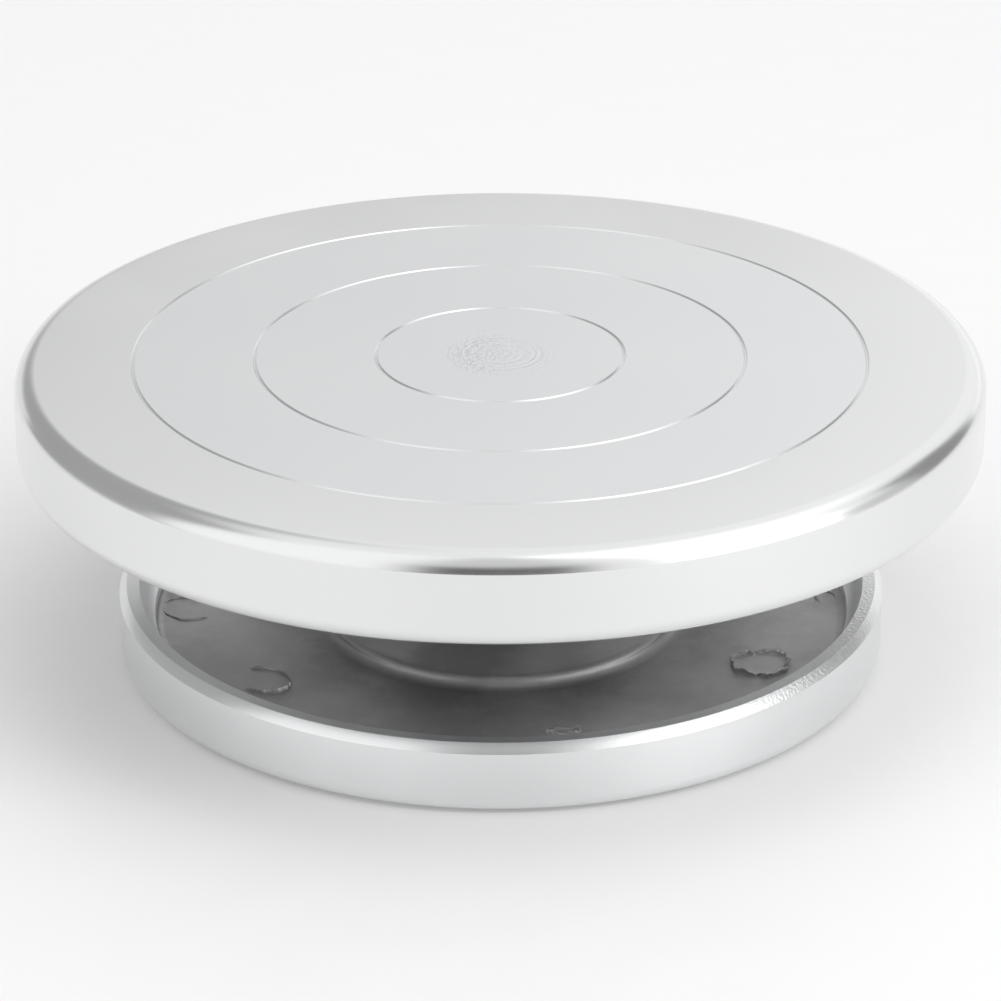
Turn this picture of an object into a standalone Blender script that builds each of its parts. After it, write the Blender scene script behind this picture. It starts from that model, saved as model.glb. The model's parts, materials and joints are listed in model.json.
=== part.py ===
"""Cake turntable: a turned cast disc on a steel spindle, running in two ball bearings in a cast dish base.

Units are metres and +Z is up. The origin is on the surface that the feet stand on, under the spindle's axis.
"""

import math

import bmesh
import bpy
from mathutils import Matrix, Vector

MM = 0.001
FIT_GAP = 0.3 * MM  # left between pieces that touch on the bench
MERGE = 0.05 * MM

# Rubber feet, seated in round pads under the base
FOOT_COUNT = 4
FOOT_STANDOFF = 1.5 * MM  # how far a foot stands out below the base's rim
FOOT_SEAT = 1.0 * MM
FOOT_RADIUS = 8.0 * MM
FOOT_CIRCLE = 102.0 * MM
FOOT_FIRST_ANGLE = math.radians(45.0)

# Turntable disc, heights from the base rim's underside
DISC_RADIUS = 150.0 * MM
DISC_TOP = 95.6 * MM
DISC_PLATE = 6.0 * MM
DISC_EDGE_ROUND = 7.0 * MM
DISC_EDGE_END = 14.0  # degrees: the round stops here, so it meets the side in a crisp line
DISC_SKIRT_BOTTOM = 66.5 * MM
DISC_SKIRT_WALL = 5.5 * MM
DISC_LOWER_ROUND = 6.5 * MM
DISC_HUB_RADIUS = 34.0 * MM
DISC_HUB_FACE = 82.0 * MM
DISC_RIB_COUNT = 6
DISC_RIB_WIDTH = 4.0 * MM
DISC_RIB_DEPTH_AT_HUB = 7.0 * MM
DISC_RIB_DEPTH_AT_SKIRT = 4.0 * MM
GROOVE_RADII = [38.4 * MM, 75.9 * MM, 113.4 * MM]
GROOVE_HALF_WIDTH = 0.6 * MM
GROOVE_DEPTH = 0.5 * MM

# Base dish
BASE_RADIUS = 120.4 * MM
BASE_RIM_TOP = 21.4 * MM
BASE_RIM_INNER = 114.0 * MM
BASE_RIM_SHOULDER = 117.0 * MM
BASE_SHOULDER_DROP = 2.8 * MM
BASE_CORNER_HEIGHT = 3.8 * MM
BASE_CORNER_INSET = 1.8 * MM
BASE_FLOOR = 7.5 * MM
BASE_FLOOR_UNDERSIDE = 3.5 * MM
PLATEAU_FOOT = 62.0 * MM
PLATEAU_EDGE = 53.9 * MM
PLATEAU_TOP = 11.3 * MM
PLATEAU_UNDERSIDE = 6.0 * MM
BASE_RIB_COUNT = 8
BASE_RIB_WIDTH = 4.0 * MM
BASE_RIB_BOTTOM = 0.8 * MM

# Bearing housing: the column in the middle of the base
HOUSING_RADIUS = 28.0 * MM
HOUSING_TOP = 71.0 * MM
HOUSING_FOOT_RADIUS = 33.0 * MM
HOUSING_BOTTOM = 4.0 * MM
HOUSING_STEP_RADIUS = 17.5 * MM

# Deep-groove ball bearings, 17 x 40 x 12
BEARING_BORE = 8.5 * MM
BEARING_RADIUS = 20.0 * MM
BEARING_WIDTH = 12.0 * MM
BALL_RADIUS = 3.373 * MM
BALL_PITCH = 14.25 * MM
BALL_COUNT = 8
INNER_RACE_RADIUS = 12.0 * MM
OUTER_RACE_BORE = 16.5 * MM
CAGE_INNER = 13.2 * MM
CAGE_OUTER = 15.3 * MM
CAGE_HALF_HEIGHT = 4.6 * MM
SHIELD_THICKNESS = 0.4 * MM
SHIELD_INSET = 0.4 * MM
UPPER_BEARING_BOTTOM = 56.0 * MM
LOWER_BEARING_BOTTOM = 15.3 * MM

# Spindle and what holds it
SPINDLE_FLANGE_RADIUS = 30.0 * MM
SPINDLE_FLANGE_THICKNESS = 6.2 * MM
SPINDLE_PILOT_RADIUS = 12.0 * MM
SPINDLE_PILOT_HEIGHT = 3.0 * MM
SPINDLE_SHOULDER_RADIUS = 10.7 * MM
SPINDLE_THREAD_RADIUS = 8.0 * MM
SPINDLE_END = 4.6 * MM
SPINDLE_SCREW_COUNT = 4
SPINDLE_SCREW_CIRCLE = 22.0 * MM
SPINDLE_SCREW_REACH = 12.3 * MM
SPINDLE_SCREW_SHANK = 2.5 * MM
SPINDLE_SCREW_HEAD = 4.75 * MM
SPINDLE_SCREW_HEAD_HEIGHT = 2.7 * MM
SPACER_RADIUS = 11.0 * MM
WASHER_RADIUS = 13.0 * MM
WASHER_THICKNESS = 1.5 * MM
NUT_ACROSS_CORNERS = 27.7 * MM
NUT_HEIGHT = 8.0 * MM
RING_GROOVE_RADIUS = 21.5 * MM
RING_OUTER = 21.2 * MM
RING_INNER = 18.4 * MM
RING_THICKNESS = 1.6 * MM
RING_GAP = 9.0 * MM

# Cover under the bearing housing
COVER_RADIUS = 31.0 * MM
COVER_THICKNESS = 1.2 * MM
COVER_DISH_RADIUS = 15.0 * MM
COVER_DISH_DEPTH = 1.0 * MM
COVER_SCREW_COUNT = 3
COVER_SCREW_CIRCLE = 26.0 * MM
COVER_SCREW_REACH = 7.5 * MM
COVER_SCREW_SHANK = 2.0 * MM
COVER_SCREW_HEAD = 3.8 * MM
COVER_SCREW_HEAD_HEIGHT = 2.2 * MM

# Roundness of the turned pieces
BIG_STEPS = 60
BEARING_STEPS = 24
SMALL_STEPS = 16

BASE_Z = FOOT_STANDOFF  # height of the base rim's underside


def clear_scene():
    for obj in list(bpy.data.objects):
        bpy.data.objects.remove(obj, do_unlink=True)


def new_collection(name):
    collection = bpy.data.collections.new(name)
    bpy.context.scene.collection.children.link(collection)
    return collection


clear_scene()
PARTS = new_collection("cake_turntable")
CUTTERS = new_collection("cutters")


def material(name, color, metallic, roughness):
    made = bpy.data.materials.new(name)
    made.use_nodes = True
    shader = made.node_tree.nodes["Principled BSDF"]
    shader.inputs["Base Color"].default_value = (*color, 1.0)
    shader.inputs["Metallic"].default_value = metallic
    shader.inputs["Roughness"].default_value = roughness
    made.diffuse_color = (*color, 1.0)
    return made


TURNED_ALUMINIUM = material("turned_aluminium", (0.80, 0.81, 0.82), 1.0, 0.30)
CAST_ALUMINIUM = material("cast_aluminium", (0.72, 0.73, 0.74), 1.0, 0.40)
GROUND_STEEL = material("ground_steel", (0.58, 0.58, 0.60), 1.0, 0.22)
BEARING_STEEL = material("bearing_steel", (0.66, 0.67, 0.69), 1.0, 0.12)
CAGE_STEEL = material("cage_steel", (0.52, 0.52, 0.54), 1.0, 0.35)
ZINC_STEEL = material("zinc_steel", (0.68, 0.70, 0.73), 1.0, 0.32)
BLACK_RUBBER = material("black_rubber", (0.03, 0.03, 0.03), 0.0, 0.85)


def add_object(name, mesh, look=None):
    """A new object: a part where it has a look, and a cutter where it has none."""
    obj = bpy.data.objects.new(name, mesh)
    if look is None:
        CUTTERS.objects.link(obj)
        obj.hide_render = True
        obj.display_type = "WIRE"
    else:
        PARTS.objects.link(obj)
        mesh.materials.append(look)
    return obj


def axis_empty(name, z):
    """An empty on the spindle's axis, which carries what turns together."""
    empty = bpy.data.objects.new(name, None)
    empty.location = (0.0, 0.0, z)
    PARTS.objects.link(empty)
    return empty


def turned(name, profile, look, steps, ring=True):
    """A solid turned about Z from (radius, height) points, which run down the outer side.

    A ring's profile closes on itself; any other profile begins and ends on the axis.
    """
    shape = bmesh.new()
    verts = [shape.verts.new((radius, 0.0, height)) for radius, height in profile]
    for start, end in zip(verts, verts[1:]):
        shape.edges.new((start, end))
    if ring:
        shape.edges.new((verts[-1], verts[0]))
    mesh = bpy.data.meshes.new(name)
    shape.to_mesh(mesh)
    shape.free()
    obj = add_object(name, mesh, look)
    screw = obj.modifiers.new("Turn", "SCREW")
    screw.axis = "Z"
    screw.angle = math.tau
    screw.steps = steps
    screw.render_steps = steps
    screw.use_merge_vertices = True
    screw.merge_threshold = MERGE
    return obj


def arc(center, radius, start, end, segments):
    """Points of an arc in the profile's plane, from angle start to angle end in degrees."""
    angles = [math.radians(start + (end - start) * i / segments) for i in range(segments + 1)]
    return [(center[0] + radius * math.cos(a), center[1] + radius * math.sin(a)) for a in angles]


def around(count, circle, first=0.0):
    """Angle and place of each of count points, evenly spaced on a circle about the axis."""
    angles = [first + math.tau * i / count for i in range(count)]
    return [(angle, Vector((circle * math.cos(angle), circle * math.sin(angle), 0.0))) for angle in angles]


def merged_mesh(name, solids):
    """One mesh that holds every bmesh in solids."""
    mesh = bpy.data.meshes.new(name)
    whole = bmesh.new()
    for solid in solids:
        solid.to_mesh(mesh)
        solid.free()
        whole.from_mesh(mesh)
    whole.to_mesh(mesh)
    whole.free()
    return mesh


def cylinder(radius, low, high, place=Vector(), sides=12):
    """An upright cylinder from height low to height high, at a place in the XY plane."""
    solid = bmesh.new()
    middle = Matrix.Translation(place + Vector((0.0, 0.0, (low + high) / 2)))
    bmesh.ops.create_cone(solid, cap_ends=True, segments=sides, radius1=radius, radius2=radius,
                          depth=high - low, matrix=middle)
    return solid


def box(size, center, turn=0.0):
    """A box of a size about a center, all turned about Z."""
    solid = bmesh.new()
    matrix = Matrix.Rotation(turn, 4, "Z") @ Matrix.Translation(center) @ Matrix.Diagonal((*size, 1.0))
    bmesh.ops.create_cube(solid, size=1.0, matrix=matrix)
    return solid


def cylinders(name, count, circle, radius, low, high, first=0.0, sides=12):
    """A ring of upright cylinders as one cutter object."""
    places = around(count, circle, first)
    return add_object(name, merged_mesh(name, [cylinder(radius, low, high, p, sides) for _, p in places]))


def combine(obj, other, operation):
    modifier = obj.modifiers.new(operation.title(), "BOOLEAN")
    modifier.operation = operation
    modifier.object = other
    modifier.solver = "EXACT"


def cut(obj, other):
    combine(obj, other, "DIFFERENCE")


def join(obj, other):
    combine(obj, other, "UNION")


def freeze(obj):
    """Applies an object's modifiers to its mesh, and shades its round faces smooth."""
    look = obj.data.materials[0]
    depsgraph = bpy.context.evaluated_depsgraph_get()
    mesh = bpy.data.meshes.new_from_object(obj.evaluated_get(depsgraph))
    obj.modifiers.clear()
    mesh.materials.clear()
    mesh.materials.append(look)
    mesh.shade_smooth()
    mesh.set_sharp_from_angle(angle=math.radians(35.0))
    obj.data = mesh
    return obj


def place_copies(first, name, spots, parent=None):
    """Puts a finished piece on the first spot, and copies that share its mesh on the others."""
    for number, (turn, place) in enumerate(spots, start=1):
        copy = first if number == 1 else bpy.data.objects.new(name, first.data)
        if number > 1:
            PARTS.objects.link(copy)
        copy.name = f"{name}_{number}"
        copy.location = place
        copy.rotation_euler = (0.0, 0.0, turn)
        copy.parent = parent


def ribs(name, count, inner, outer, width, top, depth_inner, depth_outer, first=0.0):
    """Radial ribs that hang from a plate, deeper at their inner end, as one object to join."""
    solids = []
    for turn, _ in around(count, 1.0, first):
        solid = box((outer - inner, width, depth_inner), Vector(((inner + outer) / 2, 0.0, top - depth_inner / 2)))
        for vert in solid.verts:
            if vert.co.z < top - depth_inner / 2 and vert.co.x > (inner + outer) / 2:
                vert.co.z = top - depth_outer
        bmesh.ops.rotate(solid, verts=solid.verts, matrix=Matrix.Rotation(turn, 3, "Z"))
        solids.append(solid)
    return add_object(name, merged_mesh(name, solids))


def disc_profile():
    """Half section of the disc: top with its grooves, round edge, skirt, underside and hub."""
    top = BASE_Z + DISC_TOP
    underside = top - DISC_PLATE
    bottom = BASE_Z + DISC_SKIRT_BOTTOM
    hub_face = BASE_Z + DISC_HUB_FACE
    pilot_radius = SPINDLE_PILOT_RADIUS + FIT_GAP
    pilot_roof = hub_face + SPINDLE_PILOT_HEIGHT + 2 * FIT_GAP
    skirt_inner = DISC_RADIUS - DISC_SKIRT_WALL
    points = [(0.0, top)]
    for radius in GROOVE_RADII:
        points += [(radius - GROOVE_HALF_WIDTH, top), (radius, top - GROOVE_DEPTH), (radius + GROOVE_HALF_WIDTH, top)]
    edge = (DISC_RADIUS - DISC_EDGE_ROUND * math.cos(math.radians(DISC_EDGE_END)), top - DISC_EDGE_ROUND)
    points += arc(edge, DISC_EDGE_ROUND, 90.0, DISC_EDGE_END, 5)
    lower_center = DISC_RADIUS - DISC_LOWER_ROUND
    lower_end = math.acos((skirt_inner - lower_center) / DISC_LOWER_ROUND)
    lower = (lower_center, bottom + DISC_LOWER_ROUND * math.sin(lower_end))
    points += arc(lower, DISC_LOWER_ROUND, 0.0, -math.degrees(lower_end), 5)
    points += [
        (skirt_inner - 1.5 * MM, underside - 4.0 * MM),
        (skirt_inner - 5.5 * MM, underside),
        (DISC_HUB_RADIUS + 1.5 * MM, underside),
        (DISC_HUB_RADIUS, hub_face),
        (pilot_radius, hub_face),
        (pilot_radius, pilot_roof),
        (0.0, pilot_roof),
    ]
    return points


def make_disc():
    disc = turned("turntable_disc", disc_profile(), TURNED_ALUMINIUM, BIG_STEPS, ring=False)
    underside = BASE_Z + DISC_TOP - DISC_PLATE
    embed = 1.5 * MM
    join(disc, ribs("disc_ribs", DISC_RIB_COUNT, DISC_HUB_RADIUS - 2.0 * MM, DISC_RADIUS - DISC_SKIRT_WALL,
                    DISC_RIB_WIDTH, underside + embed, DISC_RIB_DEPTH_AT_HUB + embed,
                    DISC_RIB_DEPTH_AT_SKIRT + embed))
    hub_face = BASE_Z + DISC_HUB_FACE
    cut(disc, cylinders("hub_screw_holes", SPINDLE_SCREW_COUNT, SPINDLE_SCREW_CIRCLE,
                        SPINDLE_SCREW_SHANK + FIT_GAP, hub_face - 2.0 * MM, hub_face + 6.6 * MM,
                        first=math.radians(45.0)))
    return freeze(disc)


def dish_profile():
    """Half section of the base from its rim over the floor, the housing and its bore, and back underneath."""
    rim = [
        (BASE_RIM_INNER, BASE_RIM_TOP),
        (BASE_RIM_SHOULDER, BASE_RIM_TOP),
        (BASE_RADIUS - 1.0 * MM, BASE_RIM_TOP - 0.9 * MM),
        (BASE_RADIUS, BASE_RIM_TOP - BASE_SHOULDER_DROP),
        (BASE_RADIUS, BASE_CORNER_HEIGHT),
        (BASE_RADIUS - BASE_CORNER_INSET, 0.0),
        (BASE_RADIUS - 10.4 * MM, 0.0),
        (BASE_RADIUS - 11.4 * MM, BASE_FLOOR_UNDERSIDE),
    ]
    underside = [
        (PLATEAU_FOOT - 4.0 * MM, BASE_FLOOR_UNDERSIDE),
        (PLATEAU_EDGE - 2.0 * MM, PLATEAU_UNDERSIDE),
        (HOUSING_FOOT_RADIUS + 0.5 * MM, PLATEAU_UNDERSIDE),
        (HOUSING_FOOT_RADIUS, HOUSING_BOTTOM),
    ]
    seat = BEARING_RADIUS + FIT_GAP
    ring_high = LOWER_BEARING_BOTTOM
    ring_low = LOWER_BEARING_BOTTOM - RING_THICKNESS - 2 * FIT_GAP
    lower_step = LOWER_BEARING_BOTTOM + BEARING_WIDTH + FIT_GAP
    upper_step = UPPER_BEARING_BOTTOM - FIT_GAP
    bore = [
        (seat, HOUSING_BOTTOM),
        (seat, ring_low),
        (RING_GROOVE_RADIUS, ring_low),
        (RING_GROOVE_RADIUS, ring_high),
        (seat, ring_high),
        (seat, lower_step),
        (HOUSING_STEP_RADIUS, lower_step),
        (HOUSING_STEP_RADIUS, upper_step),
        (seat, upper_step),
        (seat, HOUSING_TOP),
    ]
    column = [
        (HOUSING_RADIUS - 1.5 * MM, HOUSING_TOP),
        (HOUSING_RADIUS - 0.5 * MM, HOUSING_TOP - 1.0 * MM),
        (HOUSING_RADIUS + 0.5 * MM, PLATEAU_TOP + 5.0 * MM),
        (HOUSING_FOOT_RADIUS, PLATEAU_TOP),
    ]
    floor = [
        (PLATEAU_EDGE - 4.0 * MM, PLATEAU_TOP),
        (PLATEAU_EDGE, PLATEAU_TOP - 1.3 * MM),
        (PLATEAU_FOOT, BASE_FLOOR),
        (BASE_RIM_INNER - 6.0 * MM, BASE_FLOOR),
        (BASE_RIM_INNER - 4.0 * MM, BASE_FLOOR + 1.2 * MM),
        (BASE_RIM_INNER - 2.9 * MM, BASE_FLOOR + 4.4 * MM),
        (BASE_RIM_INNER - 1.8 * MM, BASE_FLOOR + 7.1 * MM),
    ]
    return [(radius, BASE_Z + height) for radius, height in rim + underside + bore + column + floor]


def make_dish():
    dish = turned("base_dish", dish_profile(), CAST_ALUMINIUM, BIG_STEPS)
    embed = 1.5 * MM
    rib_top = BASE_Z + BASE_FLOOR_UNDERSIDE + embed
    rib_depth = BASE_FLOOR_UNDERSIDE - BASE_RIB_BOTTOM + embed
    join(dish, ribs("dish_ribs", BASE_RIB_COUNT, PLATEAU_FOOT - 6.0 * MM, BASE_RADIUS - 10.0 * MM, BASE_RIB_WIDTH,
                    rib_top, rib_depth, rib_depth, first=math.pi / BASE_RIB_COUNT))
    join(dish, cylinders("foot_pads", FOOT_COUNT, FOOT_CIRCLE, FOOT_RADIUS + 3.0 * MM, BASE_Z + 0.2 * MM,
                         rib_top, FOOT_FIRST_ANGLE, sides=24))
    cut(dish, cylinders("foot_pockets", FOOT_COUNT, FOOT_CIRCLE, FOOT_RADIUS + FIT_GAP, 0.0,
                        BASE_Z + FOOT_SEAT + FIT_GAP, FOOT_FIRST_ANGLE, sides=24))
    bottom = BASE_Z + HOUSING_BOTTOM
    cut(dish, cylinders("cover_screw_bores", COVER_SCREW_COUNT, COVER_SCREW_CIRCLE, COVER_SCREW_SHANK + FIT_GAP,
                        bottom - 2.0 * MM, bottom + COVER_SCREW_REACH))
    return freeze(dish)


def make_feet():
    foot_top = BASE_Z + FOOT_SEAT
    profile = [
        (0.0, foot_top),
        (FOOT_RADIUS, foot_top),
        (FOOT_RADIUS, 0.5 * MM),
        (FOOT_RADIUS - 0.5 * MM, 0.0),
        (0.0, 0.0),
    ]
    foot = freeze(turned("rubber_foot", profile, BLACK_RUBBER, SMALL_STEPS, ring=False))
    place_copies(foot, "rubber_foot", around(FOOT_COUNT, FOOT_CIRCLE, FOOT_FIRST_ANGLE))


def make_race(name, wall, groove_side, parent, z):
    """One race: a ring with a flat wall on one side and the ball groove on the other.

    groove_side is 1 for the outer race, whose groove lies outside the balls, and -1 for the inner race.
    """
    half = BEARING_WIDTH / 2
    land = OUTER_RACE_BORE if groove_side > 0 else INNER_RACE_RADIUS
    groove_radius = BALL_RADIUS + FIT_GAP
    half_angle = math.degrees(math.acos(abs(land - BALL_PITCH) / groove_radius))
    middle = 0.0 if groove_side > 0 else 180.0
    groove = arc((BALL_PITCH, 0.0), groove_radius, middle - half_angle, middle + half_angle, 4)
    profile = [(wall, half), (wall, -half), (land, -half)] + groove + [(land, half)]
    if groove_side < 0:
        profile = [(wall, -half), (wall, half), (land, half)] + groove + [(land, -half)]
    race = turned(name, profile, BEARING_STEEL, BEARING_STEPS)
    race.location = (0.0, 0.0, z)
    race.parent = parent
    return race


def make_cage(name, parent):
    profile = [
        (CAGE_OUTER, CAGE_HALF_HEIGHT),
        (CAGE_OUTER, -CAGE_HALF_HEIGHT),
        (CAGE_INNER, -CAGE_HALF_HEIGHT),
        (CAGE_INNER, CAGE_HALF_HEIGHT),
    ]
    cage = turned(name, profile, CAGE_STEEL, BEARING_STEPS)
    pockets = []
    for turn, place in around(BALL_COUNT, BALL_PITCH):
        pocket = cylinder(BALL_RADIUS + FIT_GAP, -2.5 * MM, 2.5 * MM, sides=10)
        lay_radially = Matrix.Translation(place) @ Matrix.Rotation(turn, 4, "Z") @ Matrix.Rotation(math.pi / 2, 4, "Y")
        bmesh.ops.transform(pocket, matrix=lay_radially, verts=pocket.verts)
        pockets.append(pocket)
    cut(cage, add_object(f"{name}_pockets", merged_mesh(f"{name}_pockets", pockets)))
    freeze(cage)
    cage.parent = parent


def make_balls(name, parent):
    shape = bmesh.new()
    bmesh.ops.create_icosphere(shape, subdivisions=2, radius=BALL_RADIUS)
    mesh = bpy.data.meshes.new(name)
    shape.to_mesh(mesh)
    shape.free()
    mesh.shade_smooth()
    place_copies(add_object(name, mesh, BEARING_STEEL), name, around(BALL_COUNT, BALL_PITCH), parent)


def make_shield(name, z):
    inner = INNER_RACE_RADIUS + 0.4 * MM
    outer = OUTER_RACE_BORE - FIT_GAP
    half = SHIELD_THICKNESS / 2
    profile = [(outer, half), (outer, -half), (inner, -half), (inner, half)]
    shield = turned(name, profile, ZINC_STEEL, BEARING_STEPS)
    shield.location = (0.0, 0.0, z)


def make_bearing(prefix, bottom, spindle_axis):
    """One ball bearing. Its inner race turns with the spindle, and its cage carries the balls round."""
    middle = BASE_Z + bottom + BEARING_WIDTH / 2
    cage_axis = axis_empty(f"{prefix}_cage_axis", middle)
    make_race(f"{prefix}_outer_race", BEARING_RADIUS, 1, None, middle)
    make_race(f"{prefix}_inner_race", BEARING_BORE + FIT_GAP, -1, spindle_axis, middle)
    make_cage(f"{prefix}_cage", cage_axis)
    make_balls(f"{prefix}_ball", cage_axis)
    offset = BEARING_WIDTH / 2 - SHIELD_INSET - SHIELD_THICKNESS / 2
    make_shield(f"{prefix}_shield_top", middle + offset)
    make_shield(f"{prefix}_shield_bottom", middle - offset)


def make_spindle(parent):
    flange_top = DISC_HUB_FACE - FIT_GAP
    flange_bottom = flange_top - SPINDLE_FLANGE_THICKNESS
    shoulder_bottom = UPPER_BEARING_BOTTOM + BEARING_WIDTH + FIT_GAP
    thread_top = LOWER_BEARING_BOTTOM - FIT_GAP
    chamfer = 1.0 * MM
    pilot_top = flange_top + SPINDLE_PILOT_HEIGHT
    profile = [
        (0.0, pilot_top),
        (SPINDLE_PILOT_RADIUS - 0.5 * MM, pilot_top),
        (SPINDLE_PILOT_RADIUS, pilot_top - 0.5 * MM),
        (SPINDLE_PILOT_RADIUS, flange_top),
        (SPINDLE_FLANGE_RADIUS, flange_top),
        (SPINDLE_FLANGE_RADIUS, flange_bottom),
        (SPINDLE_SHOULDER_RADIUS, flange_bottom),
        (SPINDLE_SHOULDER_RADIUS, shoulder_bottom),
        (BEARING_BORE, shoulder_bottom),
        (BEARING_BORE, thread_top),
        (SPINDLE_THREAD_RADIUS, thread_top),
        (SPINDLE_THREAD_RADIUS, SPINDLE_END + chamfer),
        (SPINDLE_THREAD_RADIUS - chamfer, SPINDLE_END),
        (0.0, SPINDLE_END),
    ]
    points = [(radius, BASE_Z + height) for radius, height in profile]
    spindle = turned("spindle", points, GROUND_STEEL, BEARING_STEPS, ring=False)
    cut(spindle, cylinders("flange_screw_holes", SPINDLE_SCREW_COUNT, SPINDLE_SCREW_CIRCLE,
                           SPINDLE_SCREW_SHANK + FIT_GAP, BASE_Z + flange_bottom - 2.0 * MM,
                           BASE_Z + flange_top + 2.0 * MM, first=math.radians(45.0)))
    freeze(spindle)
    spindle.parent = parent


def make_button_screw(name, head, head_height, shank, reach):
    """A button-head socket screw that points up, with the underside of its head at height 0."""
    profile = [
        (0.0, reach),
        (shank - 0.5 * MM, reach),
        (shank, reach - 0.5 * MM),
        (shank, 0.0),
        (head, 0.0),
        (head * 0.9, -head_height * 0.55),
        (head * 0.55, -head_height),
        (0.0, -head_height),
    ]
    screw = turned(name, profile, ZINC_STEEL, 12, ring=False)
    socket = f"{name}_socket"
    hexagon = cylinder(shank * 0.7, -head_height - 1.0 * MM, -head_height * 0.4, sides=6)
    cut(screw, add_object(socket, merged_mesh(socket, [hexagon])))
    return freeze(screw)


def make_spindle_screws(parent):
    head_seat = BASE_Z + DISC_HUB_FACE - FIT_GAP - SPINDLE_FLANGE_THICKNESS - FIT_GAP
    screw = make_button_screw("spindle_screw", SPINDLE_SCREW_HEAD, SPINDLE_SCREW_HEAD_HEIGHT,
                              SPINDLE_SCREW_SHANK, SPINDLE_SCREW_REACH)
    spots = around(SPINDLE_SCREW_COUNT, SPINDLE_SCREW_CIRCLE, math.radians(45.0))
    raised = [(turn, place + Vector((0.0, 0.0, head_seat))) for turn, place in spots]
    place_copies(screw, "spindle_screw", raised, parent)


def make_spacer(parent):
    high = BASE_Z + UPPER_BEARING_BOTTOM - FIT_GAP
    low = BASE_Z + LOWER_BEARING_BOTTOM + BEARING_WIDTH + FIT_GAP
    inner = BEARING_BORE + FIT_GAP
    profile = [(SPACER_RADIUS, high), (SPACER_RADIUS, low), (inner, low), (inner, high)]
    turned("spacer_sleeve", profile, GROUND_STEEL, BEARING_STEPS).parent = parent


def make_dust_seal():
    """A rubber ring in the mouth of the housing, whose lip runs close to the spindle's shoulder."""
    low = BASE_Z + UPPER_BEARING_BOTTOM + BEARING_WIDTH + FIT_GAP
    high = BASE_Z + HOUSING_TOP - FIT_GAP
    lip = SPINDLE_SHOULDER_RADIUS + FIT_GAP
    profile = [
        (BEARING_RADIUS, high),
        (BEARING_RADIUS, low),
        (lip + 2.0 * MM, low),
        (lip, low + 1.0 * MM),
        (lip + 1.0 * MM, high),
    ]
    turned("dust_seal", profile, BLACK_RUBBER, BEARING_STEPS)


def make_washer(parent):
    high = BASE_Z + LOWER_BEARING_BOTTOM - FIT_GAP
    low = high - WASHER_THICKNESS
    inner = SPINDLE_THREAD_RADIUS + FIT_GAP
    profile = [(WASHER_RADIUS, high), (WASHER_RADIUS, low), (inner, low), (inner, high)]
    turned("spindle_washer", profile, ZINC_STEEL, BEARING_STEPS).parent = parent


def make_lock_nut(parent):
    high = BASE_Z + LOWER_BEARING_BOTTOM - 2 * FIT_GAP - WASHER_THICKNESS
    low = high - NUT_HEIGHT
    outline = cylinder(NUT_ACROSS_CORNERS / 2, low, high, sides=6)
    nut = add_object("lock_nut", merged_mesh("lock_nut", [outline]), ZINC_STEEL)
    bevel = nut.modifiers.new("Edges", "BEVEL")
    bevel.width = 0.6 * MM
    bevel.segments = 1
    bore = cylinder(SPINDLE_THREAD_RADIUS + FIT_GAP, low - 1.0 * MM, high + 1.0 * MM, sides=24)
    cut(nut, add_object("nut_bore", merged_mesh("nut_bore", [bore])))
    freeze(nut)
    nut.parent = parent


def make_retaining_ring():
    """The open spring ring in the housing's groove, with an eye at each end for pliers."""
    high = BASE_Z + LOWER_BEARING_BOTTOM - FIT_GAP
    low = high - RING_THICKNESS
    profile = [(RING_OUTER, high), (RING_OUTER, low), (RING_INNER, low), (RING_INNER, high)]
    ring = turned("retaining_ring", profile, GROUND_STEEL, BEARING_STEPS)
    middle = (RING_OUTER + RING_INNER) / 2
    slot = box((8.0 * MM, RING_GAP, 4.0 * MM), Vector((middle, 0.0, (low + high) / 2)))
    cut(ring, add_object("ring_slot", merged_mesh("ring_slot", [slot])))
    eye_angle = math.asin((RING_GAP / 2 + 0.6 * MM) / RING_INNER)
    eye_places = [Vector((RING_INNER * math.cos(a), RING_INNER * math.sin(a), 0.0)) for a in (eye_angle, -eye_angle)]
    eyes = [cylinder(2.0 * MM, low + 0.1 * MM, high - 0.1 * MM, place) for place in eye_places]
    holes = [cylinder(0.9 * MM, low - 1.0 * MM, high + 1.0 * MM, place, sides=8) for place in eye_places]
    join(ring, add_object("ring_eyes", merged_mesh("ring_eyes", eyes)))
    cut(ring, add_object("ring_eye_holes", merged_mesh("ring_eye_holes", holes)))
    freeze(ring)


def make_cover():
    high = BASE_Z + HOUSING_BOTTOM - FIT_GAP
    low = high - COVER_THICKNESS
    slope = 1.5 * MM
    profile = [
        (0.0, high - COVER_DISH_DEPTH),
        (COVER_DISH_RADIUS, high - COVER_DISH_DEPTH),
        (COVER_DISH_RADIUS + slope, high),
        (COVER_RADIUS, high),
        (COVER_RADIUS, low),
        (COVER_DISH_RADIUS + slope, low),
        (COVER_DISH_RADIUS, low - COVER_DISH_DEPTH),
        (0.0, low - COVER_DISH_DEPTH),
    ]
    cover = turned("bottom_cover", profile, ZINC_STEEL, BEARING_STEPS, ring=False)
    cut(cover, cylinders("cover_screw_holes", COVER_SCREW_COUNT, COVER_SCREW_CIRCLE,
                         COVER_SCREW_SHANK + FIT_GAP, low - 1.0 * MM, high + 1.0 * MM))
    freeze(cover)


def make_cover_screws():
    head_seat = BASE_Z + HOUSING_BOTTOM - FIT_GAP - COVER_THICKNESS - FIT_GAP
    screw = make_button_screw("cover_screw", COVER_SCREW_HEAD, COVER_SCREW_HEAD_HEIGHT, COVER_SCREW_SHANK,
                              COVER_SCREW_REACH)
    spots = around(COVER_SCREW_COUNT, COVER_SCREW_CIRCLE)
    place_copies(screw, "cover_screw", [(turn, place + Vector((0.0, 0.0, head_seat))) for turn, place in spots])


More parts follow.
